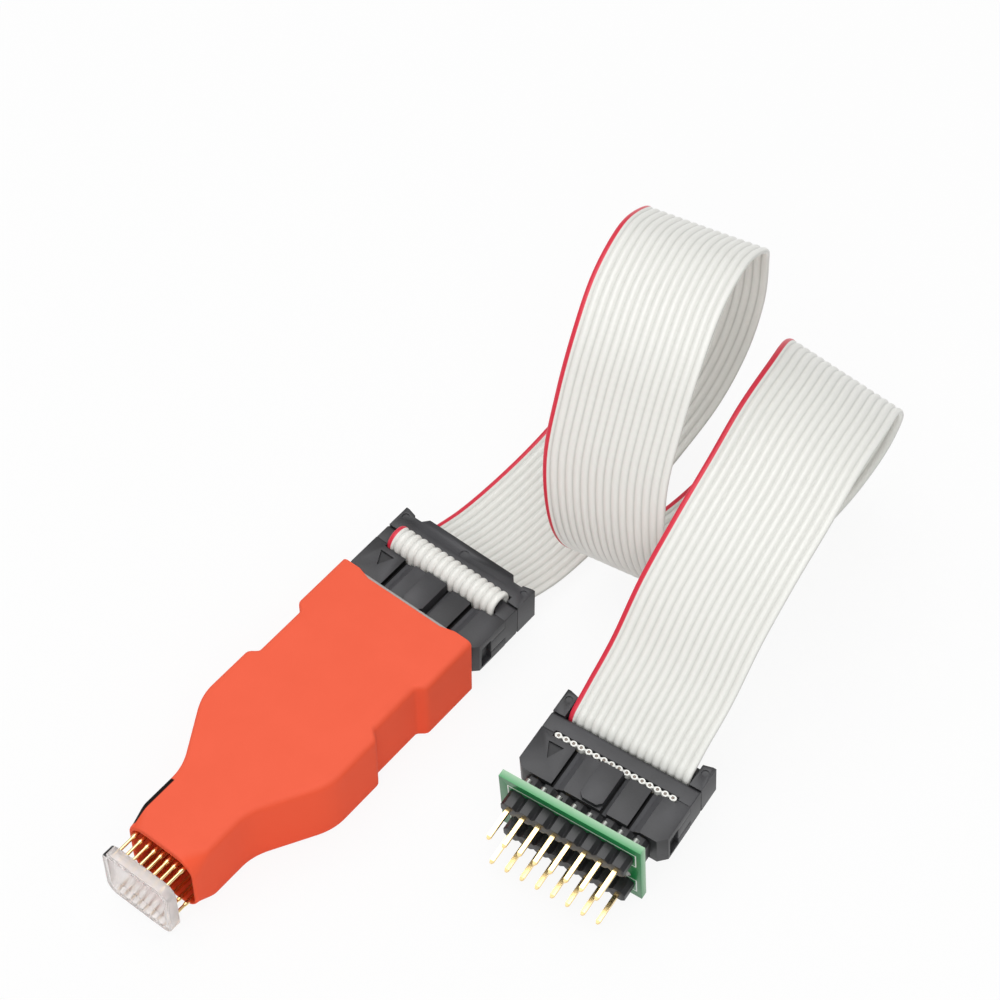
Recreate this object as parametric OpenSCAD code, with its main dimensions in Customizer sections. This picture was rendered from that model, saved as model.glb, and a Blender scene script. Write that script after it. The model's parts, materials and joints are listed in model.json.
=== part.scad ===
// Spring-pin probe for wide sixteen-lead chips, with a ribbon lead and a socket adapter

/* [Handle] */
// Length of the sleeve from its nose lip to its rear lobes
handle_len = 53.4; // [50:0.1:60]
// Thickness of the sleeve behind its nose
handle_h = 12; // [10:0.1:14]
// How far the rear block lies in from the side of the plug
rear_in = 0.1; // [0:0.05:0.5]
// How far the recessed grip lies in from the side of the plug
grip_in = 1.4; // [0.5:0.1:2]
// How far the bump ahead of the grip lies in from the side of the plug
bump_in = 0.05; // [0:0.05:1.5]
// Space beside the probe pins in the nose
nose_side = 0.665; // [0.4:0.005:1.5]
// Space above and below the probe pins in the nose
nose_top = 0.51; // [0.4:0.01:1.5]
// Length of the straight nose
nose_len = 9.2; // [8:0.1:11]
// Length of the taper from the nose to the bump
taper_len = 15.2; // [10:0.1:17]
// Length of the bump
bump_len = 7.2; // [5:0.1:9]
// Length of the grip recess
grip_len = 8.4; // [5:0.1:9]
// Length of each step beside the grip
step_len = 1.8; // [1:0.1:3]
// Wall of the soft sleeve
sleeve_wall = 0.7; // [0.5:0.05:0.75]
// Radius of the long edges of the sleeve
edge_r = 0.9; // [0.5:0.1:2]
// Radius of the corners of the nose
nose_r = 2.8; // [1.5:0.1:3]
// Length over which those corners turn into the long edges
lip_len = 4; // [2:0.1:4.4]
// How much thicker the sleeve is on its upper side
crown_h = 0.7; // [0:0.1:1.2]
// Depth of the notch in the rear edge of the sleeve
notch_d = 0.7; // [0.3:0.1:1.2]
// Width of that notch
notch_w = 14.4; // [10:0.1:17]
// How much wider that notch is on either side at the rear
notch_flare = 1.3; // [0.5:0.1:2]

/* [Collar and header] */
// Length of the collar that closes the rear of the sleeve
collar_len = 9; // [6:0.1:9.5]
// How far the rim of the collar stands out of the notch
rim_out = 1.05; // [0.2:0.05:1.2]
// Pitch of header pins and of adapter pins
hdr_pitch = 2.54; // [2.54:0.01:2.6]
// Side of a square pin
hdr_pin = 0.64; // [0.5:0.01:0.68]
// Thickness of a header base
hdr_base = 2.5; // [2:0.1:3]
// Length of a header pin behind its base
hdr_reach = 5.8; // [4:0.1:5.9]
// Length of a header pin in front of its base
hdr_tail = 3.2; // [2:0.1:4]
// Height of header and plug above the middle of the sleeve
plug_up = 0.6; // [0:0.1:1]
// Thickness of the probe board
board_t = 1.6; // [1:0.1:1.7]
// Distance from the bump back to the solder pads on the board
pad_in = 6; // [4:0.1:8]
// Thickness of the leads from the barrels to the board
lead_t = 0.3; // [0.2:0.05:0.4]
// Width of those leads
lead_w = 0.5; // [0.3:0.05:0.7]
// Straight length of those leads at either end
lead_run = 1; // [0.6:0.1:1.5]

/* [Probe pins] */
// Pitch of the probe pins
probe_pitch = 1.27; // [1.1:0.01:1.28]
// Distance between the two rows of probe pins
row_gap = 8.8; // [7:0.1:9.5]
// Outer diameter of a barrel
barrel_d = 0.68; // [0.66:0.01:0.7]
// Length of a barrel
barrel_len = 13; // [11:0.1:14]
// How far the barrels stand out of the nose
barrel_out = 1; // [0.6:0.1:1.5]
// Diameter of a plunger
plunger_d = 0.48; // [0.4:0.01:0.49]
// How far the plunger tips lie behind the front of the guide
tip_in = 0.4; // [0.1:0.05:0.6]
// Length of the guided head of a plunger inside its barrel
head_len = 2; // [1:0.1:3]
// Diameter of the spring wire
wire_d = 0.1; // [0.06:0.01:0.12]
// Thickness of each pin block
block_t = 2; // [1.5:0.1:2.5]
// Gap between the two pin blocks
block_gap = 0.7; // [0.3:0.1:2]

/* [Clear guide] */
// Width of the guide
guide_w = 12.4; // [11.5:0.1:14]
// Rim of the guide above and below its pin holes
guide_rim = 0.52; // [0.3:0.01:1]
// Thickness of the guide
guide_t = 1.7; // [1.4:0.1:3]
// Corner radius of the guide
guide_r = 2; // [0.5:0.1:2.2]
// Width of the pocket for the chip
pocket_w = 10.5; // [9.5:0.1:11.4]
// Rim between that pocket and the pin holes
pocket_rim = 0.22; // [0.1:0.01:1]
// Depth of the pocket for the chip
pocket_d = 1; // [0.5:0.1:1.2]
// Gap between the barrels and the guide at rest
guide_gap = 2.6; // [2.4:0.1:3]

/* [Ribbon plug] */
// Width of a plug
plug_w = 24.8; // [24:0.1:26]
// Thickness of a plug
plug_t = 6.1; // [5.8:0.1:6.4]
// Depth of a plug body from its mating face to the ribbon
body_d = 7.1; // [6.9:0.1:8]
// Depth of the cover behind the ribbon
cover_d = 3; // [2:0.1:4]
// Depth of the strain relief behind the cover
relief_d = 4.4; // [4:0.1:6]
// Chamfer on the front corners of a plug
plug_chamfer = 1.2; // [0.5:0.1:1.6]
// Width of the key on top of a plug
key_w = 3.7; // [3:0.1:4.5]
// Height of that key
key_h = 0.8; // [0.4:0.1:1.2]
// Corner cut of that key
key_cut = 0.7; // [0.3:0.1:1]
// Depth of the grooves in the top of a plug
groove_d = 0.9; // [0.4:0.1:1]
// Width of those grooves
groove_w = 1; // [0.5:0.05:1.1]
// Width of the ledge beside a groove
ledge_w = 0.9; // [0.5:0.05:1.2]
// Distance of the groove on the first-strand side from the middle
groove_near = 5.75; // [5:0.05:7]
// Distance of the groove on the other side from the middle
groove_far = 6.9; // [5:0.05:7.5]
// Place of the first-strand mark across the plug
mark_y = 9; // [8:0.1:10]
// Distance of that mark behind the mating face
mark_x = 3.2; // [2:0.1:4]
// Length of that mark
mark_len = 2.5; // [1.5:0.1:3]
// Distance of the latch window behind the mating face
window_x = 1.65; // [1.3:0.05:2.5]
// Length of the latch window
window_len = 2.15; // [1:0.05:3]
// Height of the latch window
window_h = 4.3; // [3:0.1:5]
// How far the straight rear of the strain relief ends inside the ribbon's edge
bar_in = 2.1; // [1:0.1:4]

/* [Ribbon] */
// Pitch of the strands
strand_pitch = 1.27; // [1.2:0.01:1.28]
// Thickness of the ribbon
ribbon_t = 0.9; // [0.7:0.05:0.9]
// Height of the fold above the plug
fold_rise = 1.5; // [1.2:0.05:1.8]

/* [Adapter] */
// Width of the adapter board
adapter_w = 23.4; // [22:0.1:26]
// Shift of the adapter board to the first-strand side
adapter_shift = 0.3; // [0:0.1:1]
// Gap between plug B and the header of the adapter
adapter_gap = 0.1; // [0:0.05:0.5]
// Thickness of the header base of the adapter
adapter_base = 3.1; // [2.5:0.1:3.5]
// Height of the adapter board
adapter_h = 14; // [12:0.1:18]
// Thickness of the adapter board
adapter_t = 1.2; // [0.8:0.1:1.6]
// Distance between the two pin strips
strip_gap = 7.62; // [7.62:0.01:8]
// Thickness of a strip base
strip_base = 2.54; // [2:0.01:3]
// Length of the strip pins behind the board
strip_tail = 1.75; // [0.8:0.05:2.2]
// Corner cut of the cells of strips and adapter header
cell_cut = 0.62; // [0.3:0.02:0.8]
// Length of the strip pins in front of their base
strip_reach = 5.3; // [4:0.1:8]
// Turn of the adapter end on the table
adapter_yaw = 5.7; // [0:0.1:12]
// Tilt of the adapter end, nose down
adapter_tilt = 5.3; // [0:0.1:8]
// Place of plug B across the table
adapter_x = 12.2; // [5:0.1:20]
// Distance of plug B from the handle
adapter_y = 41.6; // [38:0.1:60]

/* [Hidden] */
$fn = 32;
row_pins = 8;
fit = 0.05;
seat = 0.05;
spin_fit = 0.03;
rear_w = plug_w - 2 * rear_in;
grip_w = plug_w - 2 * grip_in;
bump_w = plug_w - 2 * bump_in;
nose_w = (row_pins - 1) * probe_pitch + barrel_d + 2 * (nose_side + fit + sleeve_wall);
nose_h = row_gap + barrel_d + 2 * (nose_top + fit + sleeve_wall);
zc = max(handle_h, nose_h) / 2;
zh = zc + plug_up;
plug_len = body_d + cover_d + relief_d;
front_len = barrel_out + guide_gap + guide_t;
total_len = front_len + handle_len - notch_d + rim_out + seat + plug_len;
front_x = -total_len / 2;
lip_x = front_x + front_len;
barrel_x = lip_x - barrel_out;
collar_x = lip_x + handle_len - notch_d + rim_out;
plug_x = collar_x + seat;
bump_at = nose_len + taper_len;
dip_at = bump_at + bump_len;
grip_at = dip_at + step_len;
rise_at = grip_at + grip_len;
rear_at = rise_at + step_len;
collar_d = min(collar_len, handle_len - notch_d + rim_out - rear_at - 0.3);
inner_h = handle_h - 2 * sleeve_wall - 2 * fit;
inner_r = max(edge_r - sleeve_wall, 0.3);
hdr_len = row_pins * hdr_pitch;
hdr_h = 2 * hdr_pitch;
board_w = min(grip_w - 2 * sleeve_wall - 1.2, hdr_len - 0.6);
tongue_w = nose_w - 2 * sleeve_wall - 1;
block_rear = nose_len - block_t;
block_in = block_rear - block_gap - block_t;
block_r = max(max(corner_r(block_in), edge_r) - sleeve_wall, 0.3);
plunger_out = guide_gap + guide_t - tip_in;
hole_d = plunger_d + 2 * spin_fit + 0.02;
guide_h = row_gap + hole_d + 2 * guide_rim;
pocket_h = row_gap - hole_d - 2 * pocket_rim;
bore_d = barrel_d - 0.1;
crimp_d = plunger_d + 0.03;
crimp_t = 0.4;
barrel_end = 0.5;
head_d = bore_d - 0.04;
head_at = crimp_t + 0.04;
spring_at = head_at + head_len + 0.03;
spring_end = barrel_len - barrel_end - 0.03;
coils = 8;
coil_steps = 7;
ribbon_w = row_pins * 2 * strand_pitch;
clamp = ribbon_t / 2 + 0.02;
cover_end = body_d + cover_d;
slot_x = cover_end + seat + ribbon_t / 2 + 0.03;
bar_x = slot_x + ribbon_t / 2 + 0.07;
bar_low = -plug_t / 2 + ribbon_t + 0.2;
run_z = -plug_t / 2 + ribbon_t / 2 + 0.05;
fold_r = (slot_x - body_d) / 2;
lift_angle = 22;
lift_r = 2;
lift_z = 1.6;
adapter_rear = -seat - adapter_gap - adapter_base;
adapter_front = adapter_rear - adapter_t;
adapter_z = adapter_h / 2 * cos(adapter_tilt) - adapter_front * sin(adapter_tilt);
lift_way = [cos(lift_angle), 0, sin(lift_angle)];
lift_end = [slot_x + lift_r - lift_r * sin(lift_angle), 0, lift_z + lift_r * cos(lift_angle)]
  + 0.4 * lift_way;
start_a = [plug_x + plug_len, 0, zh + run_z, 0, 0];
end_b = to_world(lift_end);

// Hand-chosen route of the ribbon's middle: x, y, z, then turn and tilt of its width
route = [
  [45, -0.8, 2.5, -1, -1],
  [55, -1.1, 1.9, -1, -1],
  [64.5, -1.4, 2.8, -1, -1],
  [73, -2, 6, 0, -1],
  [81, -3, 11.5, 1, -1],
  [86.5, -3.5, 19, 3, -2],
  [88.5, -4, 28.5, 7, -2],
  [87.5, -4.5, 38, 10, -1],
  [82.6, -6.8, 45.6, 13, 1],
  [74.6, -8.8, 50.6, 14, 3],
  [65.4, -11.1, 50.3, 14, 5],
  [57.5, -13.6, 46.6, 13, 7],
  [51.9, -15, 39.3, 12, 9],
  [47.1, -16.5, 30.3, 10, 10],
  [44.6, -19, 20.8, 7, 10],
  [46, -20.6, 13, 5, 9],
  [50.7, -22.2, 7.9, 2, 7],
  [57.5, -23.7, 4, 0, 4],
  [65.7, -24.8, 1.7, -2, -1],
  [75, -25.5, 1.5, -1, -4],
  [83.5, -27, 5.5, 0, -8],
  [89, -28.5, 12.5, 2, -10],
  [89.2, -30.3, 21.9, 4, -10],
  [84, -32.2, 29.8, 5, -10],
  [76, -34.7, 34.4, 6, -8],
  [66.3, -36.6, 35.8, 7, -6],
  [56.8, -38.2, 34.2, 6, -4],
  [48, -39.1, 30.9, 6, -2],
  [39.8, -39.5, 25.1, 6, -2],
  [32.9, -40, 18.5, 5, -1],
  [27.3, -40.2, 14.3, 5, 0],
];
rings_per_span = 2;
reach = 3;
path = concat(
  [start_a + [-reach, 0, 0, 0, 0]],
  [start_a],
  route,
  [[end_b[0], end_b[1], end_b[2], adapter_yaw, 0]],
  [concat(to_world(lift_end - reach * lift_way), [adapter_yaw, 0])]
);
spans = len(path) - 3;

function numbered(word, i) = str(word, i < 10 ? "0" : "", i);

// Straight blend from 0 to 1 whose two ends are rounded over a share k of its length
function ease(t, k) =
  t <= 0 ? 0 :
  t >= 1 ? 1 :
  t < k ? t * t / (2 * k * (1 - k)) :
  t > 1 - k ? 1 - (1 - t) * (1 - t) / (2 * k * (1 - k)) :
  (t - k / 2) / (1 - k);

function blend(a, b, t, k) = a + (b - a) * ease(t, k);

// Half width of the sleeve at a distance s behind its lip
function half_w(s) =
  s < dip_at ? blend(nose_w, bump_w, (s - nose_len) / taper_len, 0.3) / 2 :
  s < rise_at ? blend(bump_w, grip_w, (s - dip_at) / step_len, 0.45) / 2 :
  blend(grip_w, rear_w, (s - rise_at) / step_len, 0.45) / 2;

// Half height of the sleeve and radius of its long edges there
function half_h(s) = blend(nose_h, handle_h, (s - nose_len) / taper_len, 0.3) / 2;

function corner_r(s) = blend(nose_r, edge_r, s / lip_len, 0.3);

function spread(a, b, n) = [for (i = [0:n]) a + (b - a) * i / n];

function flip(list) = [for (i = [len(list) - 1:-1:0]) list[i]];

corner_steps = 5;
// One rounded rectangle across the sleeve, in from its outer skin by inset
function sleeve_ring(s, inset) =
  let (
    a = half_w(s) - inset,
    b = half_h(s) - inset,
    r = max(corner_r(s) - inset, 0.3),
    rise = inset < sleeve_wall ? crown_h : 0
  )
  [for (c = [0:3]) for (i = [0:corner_steps])
    let (
      ang = 90 * c + 90 * i / corner_steps,
      sy = c == 0 || c == 3 ? 1 : -1,
      sz = c < 2 ? 1 : -1
    )
    [lip_x + s, sy * (a - r) + r * cos(ang), zc + sz * (b - r) + r * sin(ang) + (c < 2 ? rise : 0)]];

sleeve_mid = concat(
  spread(lip_len / 4, lip_len, 3),
  [nose_len],
  spread(nose_len + taper_len / 12, bump_at, 11),
  spread(dip_at, grip_at, 5),
  spread(rise_at, rear_at, 5)
);
sleeve_outer = concat(
  [[0, 0.35], [0.1, 0.12], [0.35, 0]],
  [for (s = sleeve_mid) [s, 0]],
  [[handle_len - 0.3, 0], [handle_len - 0.08, 0.08], [handle_len, 0.25]]
);
sleeve_inner = concat(
  [[handle_len, sleeve_wall]],
  [for (s = flip(sleeve_mid)) [s, sleeve_wall]],
  [[0, sleeve_wall]]
);
sleeve_rings = concat(sleeve_outer, sleeve_inner);

// Faces that join n rings of m points, closed at the seam or capped at the ends
function skin(n, m, closed) = concat(
  [for (i = [0:closed ? n - 1 : n - 2]) for (j = [0:m - 1]) for (half = [0:1])
    let (
      p = i * m + j,
      q = i * m + (j + 1) % m,
      u = ((i + 1) % n) * m + j,
      v = ((i + 1) % n) * m + (j + 1) % m
    )
    half == 0 ? [p, u, v] : [p, v, q]],
  closed ? [] : [[for (j = [0:m - 1]) j]],
  closed ? [] : [[for (j = [m - 1:-1:0]) (n - 1) * m + j]]
);

function flat(list) = [for (a = list) for (b = a) b];

module handle_sleeve() {
  m = 4 * (corner_steps + 1);
  color("tomato")
  difference() {
    polyhedron(
      points = flat([for (k = sleeve_rings) sleeve_ring(k[0], k[1])]),
      faces = skin(len(sleeve_rings), m, true),
      convexity = 8
    );
    translate([lip_x + handle_len, 0, -1])
    linear_extrude(2 * zc + crown_h + 2)
    polygon([
      [-notch_d, -notch_w / 2],
      [notch_d, -notch_w / 2 - 2 * notch_flare],
      [notch_d, notch_w / 2 + 2 * notch_flare],
      [-notch_d, notch_w / 2]
    ]);
  }
}

// Rounded rectangle w along Y and h along Z, drawn from x on over len
module x_plate(x, len, w, h, r) {
  translate([x, 0, zc])
  rotate([90, 0, 90])
  linear_extrude(len)
  union() {
    square([w - 2 * r, h], center = true);
    square([w, h - 2 * r], center = true);
    for (sy = [-1, 1], sz = [-1, 1])
      translate([sy * (w / 2 - r), sz * (h / 2 - r)])
      circle(r);
  }
}

module rear_collar() {
  color("lightgray")
  difference() {
    x_plate(collar_x - collar_d, collar_d, rear_w - 2 * sleeve_wall - 2 * fit, inner_h, inner_r);
    translate([collar_x - collar_d - 1, -hdr_len / 2 - fit, zh - hdr_h / 2 - fit])
    cube([collar_d + 2, hdr_len + 2 * fit, hdr_h + 2 * fit]);
  }
}

// Places of the header pins in Y and Z, around the middle
header_at = [for (i = [0:row_pins - 1], k = [-1, 1])
  [(i - (row_pins - 1) / 2) * hdr_pitch, k * hdr_pitch / 2]];

// Square pin along X with a tapered tip at either end
module square_pin(x, len) {
  tip = hdr_pin * 0.6;
  translate([x + tip, -hdr_pin / 2, -hdr_pin / 2])
  cube([len - 2 * tip, hdr_pin, hdr_pin]);
  translate([x + tip, 0, 0])
  rotate([0, -90, 0])
  rotate([0, 0, 45])
  cylinder(h = tip, r1 = hdr_pin / sqrt(2), r2 = hdr_pin / sqrt(2) / 2, $fn = 4);
  translate([x + len - tip, 0, 0])
  rotate([0, 90, 0])
  rotate([0, 0, 45])
  cylinder(h = tip, r1 = hdr_pin / sqrt(2), r2 = hdr_pin / sqrt(2) / 2, $fn = 4);
}

// Block from x on over len, with a square hole for each of the pins at the given places
module drilled(x, len, places) {
  difference() {
    children();
    for (p = places)
      translate([x - 1, p[0] - hdr_pin / 2 - 0.01, p[1] - hdr_pin / 2 - 0.01])
      cube([len + 2, hdr_pin + 0.02, hdr_pin + 0.02]);
  }
}

module header_base() {
  color("black")
  translate([0, 0, zh])
  drilled(collar_x - hdr_base, hdr_base, header_at)
  translate([collar_x - hdr_base, -hdr_len / 2, -hdr_h / 2])
  cube([hdr_base, hdr_len, hdr_h]);
}

module header_pins() {
  color("gold")
  translate([0, 0, zh])
  for (p = header_at)
    translate([0, p[0], p[1]])
    square_pin(collar_x - hdr_base - hdr_tail, hdr_tail + hdr_base + hdr_reach);
}

module probe_board() {
  rear = collar_x - hdr_base - fit;
  color("darkgreen")
  translate([0, 0, zh - board_t / 2])
  linear_extrude(board_t)
  polygon([
    [lip_x + nose_len + fit, -tongue_w / 2],
    [lip_x + bump_at - 4, -tongue_w / 2],
    [lip_x + bump_at, -board_w / 2],
    [rear, -board_w / 2],
    [rear, board_w / 2],
    [lip_x + bump_at, board_w / 2],
    [lip_x + bump_at - 4, tongue_w / 2],
    [lip_x + nose_len + fit, tongue_w / 2]
  ]);
}

function probe_y(i) = ((i - 1) % row_pins - (row_pins - 1) / 2) * probe_pitch;

function probe_z(i) = (i <= row_pins ? 1 : -1) * row_gap / 2;

// Children are drawn along Z at the front end of barrel i
module at_probe(i) {
  translate([barrel_x, probe_y(i), zc + probe_z(i)])
  rotate([0, 90, 0])
  children();
}

module pin_block(x) {
  difference() {
    x_plate(x, block_t, nose_w - 2 * sleeve_wall - 2 * fit, nose_h - 2 * sleeve_wall - 2 * fit, block_r);
    for (i = [1:2 * row_pins])
      at_probe(i)
      cylinder(h = barrel_len, d = barrel_d + 0.03);
  }
}

module pin_block_front() {
  color("dimgray")
  pin_block(lip_x + block_in);
}

module pin_block_rear() {
  color("dimgray")
  pin_block(lip_x + block_rear);
}

module barrel() {
  rotate_extrude()
  polygon([
    [crimp_d / 2, 0],
    [barrel_d / 2 - 0.06, 0],
    [barrel_d / 2, crimp_t],
    [barrel_d / 2, barrel_len],
    [0, barrel_len],
    [0, barrel_len - barrel_end],
    [bore_d / 2, barrel_len - barrel_end],
    [bore_d / 2, crimp_t],
    [crimp_d / 2, crimp_t]
  ]);
}

module pogo_barrels() {
  color("goldenrod")
  for (i = [1:2 * row_pins])
    at_probe(i)
    barrel();
}

// Bent strip from each barrel's end down to the board
module tail_leads() {
  end_x = barrel_x + barrel_len;
  pad_x = lip_x + bump_at - pad_in;
  color("silver")
  for (i = [1:2 * row_pins])
    let (side = i <= row_pins ? 1 : -1, pad_z = board_t / 2 + lead_t / 2 + side * plug_up)
    translate([0, probe_y(i), zc])
    rotate([side > 0 ? 0 : 180, 0, 0])
    rotate([90, 0, 0])
    linear_extrude(lead_w, center = true)
    polygon([
      [end_x, row_gap / 2 + lead_t / 2],
      [end_x + lead_run, row_gap / 2 + lead_t / 2],
      [pad_x, pad_z + lead_t / 2],
      [pad_x + lead_run, pad_z + lead_t / 2],
      [pad_x + lead_run, pad_z - lead_t / 2],
      [pad_x - lead_t / 2, pad_z - lead_t / 2],
      [end_x + lead_run - lead_t / 2, row_gap / 2 - lead_t / 2],
      [end_x, row_gap / 2 - lead_t / 2]
    ]);
}

module plunger(i) {
  color("gold")
  at_probe(i)
  rotate_extrude()
  polygon([
    [0, -plunger_out],
    [plunger_d * 0.2, -plunger_out],
    [plunger_d / 2, -plunger_out + plunger_d * 0.7],
    [plunger_d / 2, head_at],
    [head_d / 2, head_at],
    [head_d / 2, head_at + head_len],
    [0, head_at + head_len]
  ]);
}

// Coil spring between a plunger's head and the end of its barrel
module spring(i) {
  r = bore_d / 2 - 0.02 - wire_d / 2;
  n = coils * coil_steps + 1;
  m = 3;
  span = spring_end - spring_at - wire_d;
  color("silver")
  at_probe(i)
  polyhedron(
    points = flat([for (k = [0:n - 1])
      let (ang = 360 * k / coil_steps, z = spring_at + wire_d / 2 + span * k / (n - 1))
      [for (j = [0:m - 1])
        let (w = r + wire_d / 2 * cos(360 * j / m))
        [w * cos(ang), w * sin(ang), z + wire_d / 2 * sin(360 * j / m)]]]),
    faces = [for (f = skin(n, m, false)) flip(f)],
    convexity = 10
  );
}

module clear_guide() {
  color("white", 0.5)
  difference() {
    x_plate(front_x, guide_t, guide_w, guide_h, guide_r);
    x_plate(front_x - 1, pocket_d + 1, pocket_w, pocket_h, 0.5);
    for (i = [1:2 * row_pins])
      at_probe(i)
      translate([0, 0, -plunger_out - 1])
      cylinder(h = plunger_out + 0.5, d = hole_d);
  }
}

// Plug parts are drawn with the mating face at x = 0 and the ribbon side at +X
module at_plug_a() {
  translate([plug_x, 0, zh])
  children();
}

module at_plug_b() {
  translate([adapter_x, -adapter_y, adapter_z])
  rotate([0, -adapter_tilt, adapter_yaw])
  children();
}

function to_world(p) =
  let (
    x = p[0] * cos(adapter_tilt) - p[2] * sin(adapter_tilt),
    z = p[0] * sin(adapter_tilt) + p[2] * cos(adapter_tilt)
  )
  [
    adapter_x + x * cos(adapter_yaw) - p[1] * sin(adapter_yaw),
    -adapter_y + x * sin(adapter_yaw) + p[1] * cos(adapter_yaw),
    adapter_z + z
  ];

arm_at = window_x + window_len;
arm_t = 0.8;
arm_h = 2.6;

module plug_body() {
  half = plug_w / 2;
  top = plug_t / 2;
  difference() {
    union() {
      translate([0, 0, -top])
      linear_extrude(plug_t)
      polygon([
        [0, -half + plug_chamfer],
        [plug_chamfer, -half],
        [body_d, -half],
        [body_d, half],
        [plug_chamfer, half],
        [0, half - plug_chamfer]
      ]);
      translate([0, 0, top - 0.5])
      linear_extrude(key_h + 0.5)
      polygon([
        [0.15, key_cut - key_w / 2],
        [0.15 + key_cut, -key_w / 2],
        [body_d - 0.55, -key_w / 2],
        [body_d - 0.55, key_w / 2],
        [0.15 + key_cut, key_w / 2],
        [0.15, key_w / 2 - key_cut]
      ]);
    }
    translate([body_d - clamp, -ribbon_w / 2 - 0.1, -top - 1])
    cube([clamp + 1, ribbon_w + 0.2, plug_t + 2]);
    for (p = header_at)
      translate([0, p[0], p[1]])
      pin_way();
    for (y = [groove_near, -groove_far]) {
      translate([-1, y - groove_w / 2, top - groove_d])
      cube([body_d + 2, groove_w, groove_d + 1]);
      translate([-1, y - groove_w / 2, top])
      rotate([90, 0, 90])
      linear_extrude(body_d + 2)
      polygon([[0.1, 1], [0.1, -groove_d * 0.75], [-ledge_w, -groove_d * 0.25], [-ledge_w, 1]]);
    }
    translate([-1, -key_w / 2 - groove_w, top - groove_d])
    cube([body_d + 2, groove_w, groove_d + 1]);
    translate([mark_x, mark_y, top - 0.4])
    linear_extrude(1)
    polygon([[0, 0], [mark_len, -mark_len / 2], [mark_len, mark_len / 2]]);
    for (k = [-1, 1])
      translate([window_x, k * half - arm_t, -top + 0.45])
      cube([window_len + 0.1, 2 * arm_t, window_h]);
    for (k = [-1, 1])
      translate([arm_at, k * (half - arm_t / 2) - arm_t / 2 - 0.05, -arm_h / 2 - 0.05])
      cube([body_d, arm_t + 0.1, arm_h + 0.1]);
  }
}

// Funnel and room for one pin with its contact
module pin_way() {
  translate([-1, -0.4, -0.4])
  cube([2, 0.8, 0.8]);
  translate([0.8, -0.55, -0.7])
  cube([body_d, 1.1, 1.4]);
}

// Fork of two leaves and a blade for each strand
module plug_contacts() {
  leaf = 0.2;
  gap = hdr_pin / 2 + 0.04;
  root = hdr_reach + 0.15;
  for (p = header_at)
    translate([0, p[0], p[1]])
    union() {
      for (k = [-1, 1])
        translate([1, -0.45, k * (gap + leaf / 2) - leaf / 2])
        cube([root - 0.9, 0.9, leaf]);
      translate([root, -0.45, -gap - leaf])
      cube([body_d - clamp - 0.02 - root, 0.9, 2 * gap + 2 * leaf]);
    }
}

module plug_cover() {
  half = plug_w / 2;
  top = plug_t / 2;
  union() {
    difference() {
      translate([0, half, 0])
      rotate([90, 0, 0])
      linear_extrude(plug_w)
      polygon([
        [body_d + 0.02, -top],
        [cover_end - 0.4, -top],
        [cover_end, -top + 0.4],
        [cover_end, top - 0.4],
        [cover_end - 0.4, top],
        [body_d + 0.02, top]
      ]);
      translate([body_d - 1, -ribbon_w / 2 - 0.1, -top - 1])
      cube([clamp + 1, ribbon_w + 0.2, plug_t + 2]);
    }
    for (k = [-1, 1])
      translate([arm_at + 0.05, k * (half - arm_t / 2) - arm_t / 2, -arm_h / 2])
      cube([body_d - arm_at + 0.5, arm_t, arm_h]);
  }
}

// Bar that holds the ribbon behind the cover, between two ears
module plug_relief() {
  half = plug_w / 2;
  top = plug_t / 2;
  ear_in = ribbon_w / 2 + 0.25;
  ear_end = plug_len - 0.3;
  web_x = plug_len - 1;
  bar_half = ribbon_w / 2 - bar_in;
  difference() {
    union() {
      translate([0, 0, bar_low])
      linear_extrude(top - bar_low)
      polygon([
        [bar_x, -ear_in - 0.3],
        [web_x, -ear_in - 0.3],
        [web_x, -bar_half - 0.85],
        [plug_len, -bar_half],
        [plug_len, bar_half],
        [web_x, bar_half + 0.85],
        [web_x, ear_in + 0.3],
        [bar_x, ear_in + 0.3]
      ]);
      for (k = [-1, 1])
        translate([0, 0, -top])
        linear_extrude(plug_t)
        polygon([
          [cover_end + 0.02, k * ear_in],
          [cover_end + 0.02, k * half],
          [ear_end, k * half],
          [ear_end, k * (half - 0.5)],
          [ear_end - 0.4, k * ear_in]
        ]);
    }
    translate([(bar_x + plug_len) / 2, 0, top - 0.15])
    cylinder(h = 1, d = 1.4);
    for (k = [-1, 1], z = [top - 0.2, -top - 0.8])
      translate([ear_end - 1.4, k * (half + ear_in) / 2, z])
      cylinder(h = 1, d = 1.1);
  }
}

// Middle line of the fold: up between body and cover, over the cover, then down behind it
fold_line = concat(
  [[body_d, -plug_t / 2]],
  [for (a = [180:-15:0]) [body_d + fold_r + fold_r * cos(a), plug_t / 2 + 0.05 + fold_rise * sin(a)]]
);
bend_r = ribbon_t / 2 + 0.15;
exit_line = concat(
  [for (a = [180:15:270]) [slot_x + bend_r + bend_r * cos(a), run_z + bend_r + bend_r * sin(a)]],
  [[plug_len, run_z]]
);
// Fold of plug B, drawn turned over: down behind the cover and then away at a slope
lift_line = concat(
  [for (a = [180:17:180 + 90 - lift_angle]) [slot_x + lift_r + lift_r * cos(a), -lift_z + lift_r * sin(a)]],
  [[lift_end[0], -lift_end[2]]]
);

function unit(v) = v / norm(v);

// Offset of a line of points to one side, by the mean direction at each point
function beside(line, d) = [for (i = [0:len(line) - 1])
  let (
    a = line[max(i - 1, 0)],
    b = line[min(i + 1, len(line) - 1)],
    t = unit(b - a)
  )
  line[i] + d * [-t[1], t[0]]];

module band(line) {
  translate([0, ribbon_w / 2, 0])
  rotate([90, 0, 0])
  linear_extrude(ribbon_w)
  polygon(concat(beside(line, ribbon_t / 2), flip(beside(line, -ribbon_t / 2))));
}

module plug_a_body() {
  color("dimgray")
  at_plug_a()
  plug_body();
}

module plug_a_contacts() {
  color("gold")
  at_plug_a()
  plug_contacts();
}

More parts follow.
